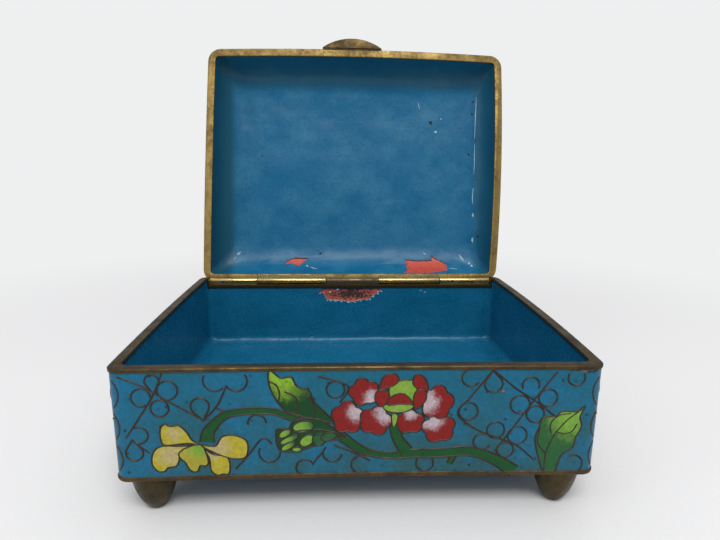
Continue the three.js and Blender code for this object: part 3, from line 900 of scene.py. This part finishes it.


# ---------------------------------------------------------------- brass mouth rim and base band
# A strip of brass is soldered round the mouth of the pan and another round its foot. Both are
# dull and brown from handling, with brighter metal showing through the tarnish in patches.
def tarnish_group():
    """Old brass: bright metal under brown tarnish, with rubbed highlights and fine scratches."""
    group, given, result = new_group("tarnish", ("Bright", "Brown"), ("Tarnish", "Smooth"),
        ("Roughness", "Metal", "Height"))
    place = given["Place"]
    broad = noise(group, place, 130.0, 5.0, 0.65)
    spots = noise(group, place, 900.0, 4.0, 0.7)
    mixed = maths(group, "MULTIPLY_ADD", spots, 0.6, broad)
    level = remap(group, mixed, 0.62, 0.98, -0.45, 0.45)
    brown = maths(group, "ADD", level, given["Tarnish"], clamp=True)
    colour = blend(group, brown, given["Bright"], given["Brown"])
    group.links.new(colour, result.inputs["Colour"])
    rough = maths(group, "MULTIPLY_ADD", brown, 0.28, given["Smooth"], clamp=True)
    group.links.new(rough, result.inputs["Roughness"])
    metal = remap(group, brown, start=1.0, end=0.55)
    group.links.new(metal, result.inputs["Metal"])
    drawn = add_node(group, "ShaderNodeMapping", {"Vector": place, "Scale": (1.0, 1.0, 9.0)})
    lines = noise(group, drawn.outputs[0], 700.0, 2.0)
    height = maths(group, "MULTIPLY_ADD", lines, 0.35, mixed)
    group.links.new(height, result.inputs["Height"])
    return group


tarnish = tarnish_group()


def brass(name, bright, brown, amount, smooth, depth):
    """A brass finish: the shared tarnish with its own colours and wear."""
    material, tree, shader, place = new_material(name)
    plug_in(tree, shader, tarnish, depth, {"Place": place, "Bright": (*bright, 1), "Brown": (*brown, 1),
        "Tarnish": amount, "Smooth": smooth})
    return material


dull_brass = brass("dull_brown_brass", (0.108, 0.074, 0.028), (0.020, 0.013, 0.006), 0.50, 0.30, 0.00010)
band_brass = brass("brown_band_brass", (0.125, 0.080, 0.034), (0.034, 0.021, 0.010), 0.45, 0.40, 0.00010)

mouth_rim = dressed_copy("body_rim", "mouth_rim", 0.10)
mouth_rim.data.materials.append(dull_brass)
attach(mouth_rim, "box")
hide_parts("body_rim")
foot_band = dressed_copy("base_band", "base_band_strip", 0.18)
foot_band.data.materials.append(band_brass)
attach(foot_band, "box")
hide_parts("base_band")


# ---------------------------------------------------------------- four feet
# Four domed brass feet are soldered under the corners. They are dark with age and mottled
# with tarnish.
foot_brass = brass("dark_foot_brass", (0.086, 0.064, 0.026), (0.018, 0.014, 0.007), 0.50, 0.30, 0.00016)
for place in ("front_left", "front_right", "back_left", "back_right"):
    foot = dressed_copy("foot_" + place, "foot_dome_" + place, 0.0, 40)
    foot.data.materials.append(foot_brass)
    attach(foot, "box")
    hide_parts("foot_" + place)


# ---------------------------------------------------------------- hinge
# Five brass knuckles on one pin along the back edge, by turns the box's and the lid's. The
# middle one is worn dull, the others are still yellow, and a dark ring fills each gap.
yellow_brass = brass("yellow_knuckle_brass", (0.640, 0.490, 0.200), (0.150, 0.110, 0.045), 0.12, 0.24, 0.00004)
worn_brass = brass("worn_knuckle_brass", (0.240, 0.190, 0.105), (0.056, 0.044, 0.028), 0.45, 0.32, 0.00012)
knuckle_row = sorted((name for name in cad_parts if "knuckle" in name), key=lambda name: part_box(name)[0].x)
hinge_middle = sum(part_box("hinge_pin"), Vector()) / 2
for name in knuckle_row:
    knuckle = dressed_copy(name, name + "_brass", 0.08)
    knuckle.data.materials.append(worn_brass if "3" in name else yellow_brass)
    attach(knuckle, "lid" if name[-1] in "24" else "box")
    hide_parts(name)
# A dark, mottled ring is set into each gap between two knuckles and darkens it.
gap_ring_dark, tree, shader, place = new_material("dark_hinge_gap_ring")
gap_ring_mottle = noise(tree, place, 2500.0, 3.0)
tone = blend(tree, gap_ring_mottle, (0.004, 0.004, 0.003, 1), (0.022, 0.018, 0.012, 1))
tree.links.new(tone, shader.inputs["Base Color"])
settings_of(shader, Roughness=0.85)
for count, (here, beyond) in enumerate(zip(knuckle_row, knuckle_row[1:]), 1):
    gap = ((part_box(here)[1].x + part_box(beyond)[0].x) / 2, hinge_middle.y, hinge_middle.z)
    bpy.ops.object.select_all(action="DESELECT")
    bpy.ops.mesh.primitive_cylinder_add(vertices=20, radius=0.92 * MM, depth=0.24 * MM, location=gap,
        rotation=(0, math.pi / 2, 0))
    ring = bpy.context.object
    ring.name = ring.data.name = f"hinge_gap_ring_{count}"
    bpy.ops.object.mode_set(mode="EDIT")
    bpy.ops.mesh.select_all(action="SELECT")
    bpy.ops.mesh.bevel(offset=0.05 * MM, segments=2)
    bpy.ops.object.mode_set(mode="OBJECT")
    bpy.ops.object.transform_apply(location=True, rotation=True, scale=True)
    ring.data.materials.append(gap_ring_dark)
    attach(ring, "box")
pin = dressed_copy("hinge_pin", "hinge_pin_wire", 0.08)
pin.data.materials.append(band_brass)
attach(pin, "box")
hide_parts("hinge_pin")


# ---------------------------------------------------------------- the lid
# A shallow domed dish of copper, enamelled like the pan, hung open over the hinge. Inside, its
# left, right and upper sides carry painted shade, darker than its middle.
lid_inner_blue = enamel("lid_inner_enamel", (0.004, 0.116, 0.245), (0.026, 0.165, 0.290), (0.004, 0.030, 0.060),
    0.75, 0.25, 0.34, 0.8, 0.0007, 0.22)
tree = lid_inner_blue.node_tree
lid_low, lid_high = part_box("lid_body")
spot = add_node(tree, "ShaderNodeSeparateXYZ", {0: add_node(tree, "ShaderNodeTexCoord").outputs["Object"]})
painted_side_shade = None
# Painted shade: each steep inner side darkens towards the lid's edge, by the amount given.
for axis, inner, outer, amount in (("X", lid_low.x + 0.0115, lid_low.x + 0.0080, 0.95),
                                   ("X", lid_high.x - 0.0100, lid_high.x - 0.0065, 0.75),
                                   ("Z", lid_high.z - 0.0160, lid_high.z - 0.0115, 0.60)):
    band = remap(tree, spot.outputs[axis], inner, outer, end=amount, smooth=True)
    last = painted_side_shade
    painted_side_shade = band
    if last:
        painted_side_shade = maths(tree, "MAXIMUM", last, band)
shader = next(node for node in tree.nodes if node.type == "BSDF_PRINCIPLED")
fired = next(node for node in tree.nodes if node.type == "GROUP")
# The painted shade is laid over the enamel colour as a dark navy.
lid_colour_with_painted_shade = blend(tree, painted_side_shade, fired.outputs["Colour"], (0.010, 0.078, 0.130, 1))
tree.links.new(lid_colour_with_painted_shade, shader.inputs["Base Color"])
lid = dressed_copy("lid_body", "enamelled_lid", 0.15)
lid.data.materials.append(outer_blue)
lid.data.materials.append(lid_inner_blue)
shut_turn = math.radians(102.3)
to_closed = Matrix.Translation(hinge_middle) @ Matrix.Rotation(shut_turn, 4, "X") @ Matrix.Translation(-hinge_middle)
for face in lid.data.polygons:
    normal = (to_closed.to_3x3() @ face.normal)
    centre = to_closed @ face.center
    away = centre - Vector((pan_middle.x, pan_middle.y, 0))
    outward = normal.x * away.x + normal.y * away.y
    face.material_index = 1 if normal.z < -0.15 or (normal.z < 0.4 and outward < 0) else 0
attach(lid, "lid")
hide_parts("lid_body")

# Near the hinge two flakes of the lid's inside enamel are gone, down to coral-pink copper, and
# there are a few pits and scratches. Places on the lid are given as it lies when shut.
shut = lid.data.copy()
shut.transform(to_closed)
skin = bmesh.new()
skin.from_mesh(shut)
lid_skin = BVHTree.FromBMesh(skin)
skin.free()
bpy.data.meshes.remove(shut)
to_open = to_closed.inverted()
lid_setback, lid_forward, lid_half_depth = 15.54, 0.5, 44.8
rack_least, rack_more = 0.1, 1.1


def touch(start, heading, lift):
    """Where a line first meets the shut lid, raised by the lift and swung to the open place."""
    spot, *_ = lid_skin.ray_cast(start * MM, heading)
    if spot is None:
        spot, *_ = lid_skin.find_nearest(start * MM)
    return (to_open @ (spot - heading * lift * MM)) / MM


def in_lid(x, y, lift):
    """A place on the hollow side of the shut lid, with its zero across at the middle of the pan."""
    return touch(Vector((pan_middle.x / MM + x, plan_y + lid_setback + y, mouth_height - 20)), Vector((0, 0, 1)),
                 lift)


knock_out(lid, [ragged([(-27.5, 21.6), (-25.2, 20.0), (-22.5, 19.2), (-17.6, 19.6), (-19.4, 21.0), (-21.2, 22.6),
                        (-24, 21.7)], 0.1),
                ragged([(22.6, 20.0), (27.6, 20.5), (33.4, 20.2), (33.2, 18.3), (39.4, 22.0), (39.3, 24.4),
                        (36, 24.9), (30.4, 25.6),
                        (20.8, 25.3), (23, 24.2), (22.7, 22.2)], 0.1, seed=5)], in_lid, 0.6, coral_copper)
pits = []
for x, y, radius in ((33.4, -36.9, 0.85), (50.8, -45.4, 0.5), (50.5, -40.3, 0.5), (49.2, -23.7, 0.55),
                     (-36.4, -22.7, 0.4),
                     (-12.6, 17.6, 0.45), (52.4, 10.7, 0.5), (52.0, -29.0, 0.4)):
    pits.append([Vector((x + radius * (1 + 0.2 * math.sin(3 * k)) * math.cos(math.tau * k / 9),
                         y + radius * math.sin(math.tau * k / 9))) for k in range(9)])
knock_out(lid, pits, in_lid, 0.3, pit_black)
scratches = Design(base=0.0)
for line, width in ((((51.9, -47.2), (51.6, -38), (51.3, -30)), 0.32),
                    (((51.3, -28), (51.2, -20), (51.0, -15.2)), 0.28),
                    (((50.8, -9.5), (50.5, -6), (50.6, -3)), 0.35), (((28.0, -45.2), (28.7, -42.4)), 0.3),
                    (((-16.6, 23.0), (-15.2, 23.6), (-13.8, 23.8)), 0.35), (((-18.4, 22.4), (-17.2, 22.9)), 0.6),
                    (((30.0, 17.2), (31.2, 18.0)), 0.5), (((45.0, 18.0), (46.8, 20.8)), 0.55),
                    (((40.2, 23.6), (43.4, 23.9)), 0.25),
                    (((-46.4, 18.2), (-45.0, 16.8)), 0.8), (((-47.6, 20.0), (-46.8, 18.8)), 0.35)):
    scratches.stem(line, (width * 0.4, width, width * 0.3), CHIPPED, wired=False)
for x, y, wide, high in ((35.4, -33.2, 0.55, 0.5), (37.6, -38.6, 0.3, 0.25), (48.8, 21.6, 0.45, 0.5),
                         (-45.9, 17.6, 0.5, 0.35), (50.6, 1.6, 0.3, 0.8),
                         (50.4, 12, 0.35, 1.1), (49.6, 22.6, 0.4, 0.4)):
    scratches.cell(scalloped(x, y, wide, high, 3, 0.3), CHIPPED, (x, y), 0.6, smooth=False, wired=False)
set_in(scratches, "lid_scratches", in_lid, "lid")


def on_lid(x, y, lift):
    """A place on the outside of the lid, seen from above when it is shut."""
    racked = rack_least + rack_more * (1 - y / lid_half_depth)
    return touch(Vector((plan_x + racked + x, plan_y - lid_forward + y, mouth_height + 40)), Vector((0, 0, -1)), lift)


def round_lid(run, up, lift):
    """A place on the lid's upright edge: the run goes round it as on the pan, the up is from its rim."""
    outer, inner = on_wall(run, up, 12), on_wall(run, up, 0)
    return touch(outer, (inner - outer).normalized(), lift)


lid_top = Design(base=0.0)
for column in range(-2, 3):
    for row in range(-2, 3):
        if (row + column) % 2 == 0:
            crossing(lid_top, column * 21.5, row * 17.0, 1.15, 4 * row - 3 * column, (14, 12, 14, 12))
        else:
            lid_top.wire(ring_line(column * 21.5, row * 17.0, 2.4, 30 * row, 270), smooth=False)
            lid_top.wire(ring_line(column * 21.5 + 3.6, row * 17.0 + 3.2, 2.2, 200, 240), smooth=False)
for turn in (0, 180):
    lid_top.stand(0, 0, turn)
    lid_top.stem([(4, -4), (12, -13), (20, -18), (29, -20), (37, -17), (42, -10)], (3.4, 3.2, 3.0, 2.6, 2.2, 1.8),
                 STALK)
    lid_top.stem([(-4, -6), (-12, -14), (-20, -20), (-30, -24), (-36, -30)], (3.0, 2.8, 2.4, 2.2, 1.8), STALK)
    spin = Matrix.Rotation(math.radians(turn), 2)
    for motif, x, y, lean, size in ((bud_leaf, 43, -9, -18, 1.15), (yellow_blossom, -33, -28.5, -20, 1.2),
                                    (broad_leaf, 24, -20, -52, 1.25),
                                    (scaled_leaf, -16, -17, 16, 1.15), (peony, 20, -30.5, 20, 0.82)):
        spot = spin @ Vector((x, y))
        motif(lid_top, spot.x, spot.y, lean + turn, size)
peony(lid_top, 0, -1.5, size=1.55)
set_in(lid_top, "lid_top", on_lid, "lid")
lid_edge = Design(base=0.0)
for k in range(32):
    run = half_way * (k / 16 - 1)
    lid_edge.wire([(run - 5.6, 9.4), (run - 2.4, 5.4), (run, 2.0), (run + 2.4, 5.4), (run + 5.6, 9.4)])
    lid_edge.wire(ring_line(run, 6.9, 1.7, -60, 300), smooth=False)
    lid_edge.wire(ring_line(run + 6.2, 4.6, 1.6, 100, 340), smooth=False)
set_in(lid_edge, "lid_edge", round_lid, "lid")


# ---------------------------------------------------------------- lid rim and thumb tab
# The lid's mouth is bound with a wider brass strip, still golden, with a half-round thumb tab
# soldered to the middle of its front.
lid_brass = brass("golden_lid_brass", (0.360, 0.250, 0.085), (0.080, 0.055, 0.020), 0.30, 0.50, 0.00008)
lid_rim = dressed_copy("lid_rim", "lid_rim_strip", 0.12)
lid_rim.data.materials.append(lid_brass)
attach(lid_rim, "lid")
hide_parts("lid_rim")
tab = dressed_copy("thumb_tab", "thumb_tab_leaf", 0.16)
# The tab's brass is darker than the lid rim's: painted shade that damps the lamp's glint on it.
tab.data.materials.append(brass("darkened_tab_brass", (0.130, 0.088, 0.034), (0.040, 0.027, 0.011), 0.45, 0.46,
                                0.00008))
tab_low, tab_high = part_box("thumb_tab")
bead = bpy.data.curves.new("tab_solder", "CURVE")
bead.dimensions, bead.bevel_depth, bead.bevel_resolution, bead.use_fill_caps = "3D", 0.28 * MM, 2, True
strand = bead.splines.new("POLY")
strand.points.add(8)
lid_rim_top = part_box("lid_rim")[1].z
for k, knot in enumerate(strand.points):
    x = tab_low.x + (tab_high.x - tab_low.x) * (0.01 + 0.98 * k / 8)
    seam = lid_rim.ray_cast(Vector((x, tab_low.y + 0.45 * MM, lid_rim_top + 5 * MM)), Vector((0, 0, -1)))[1]
    knot.co = (x, tab_low.y - 0.02 * MM, seam.z + 0.04 * MM, 1)
solder = drawn_wire(bead, dull_brass)
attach(solder, "lid")
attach(tab, "lid")
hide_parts("thumb_tab")
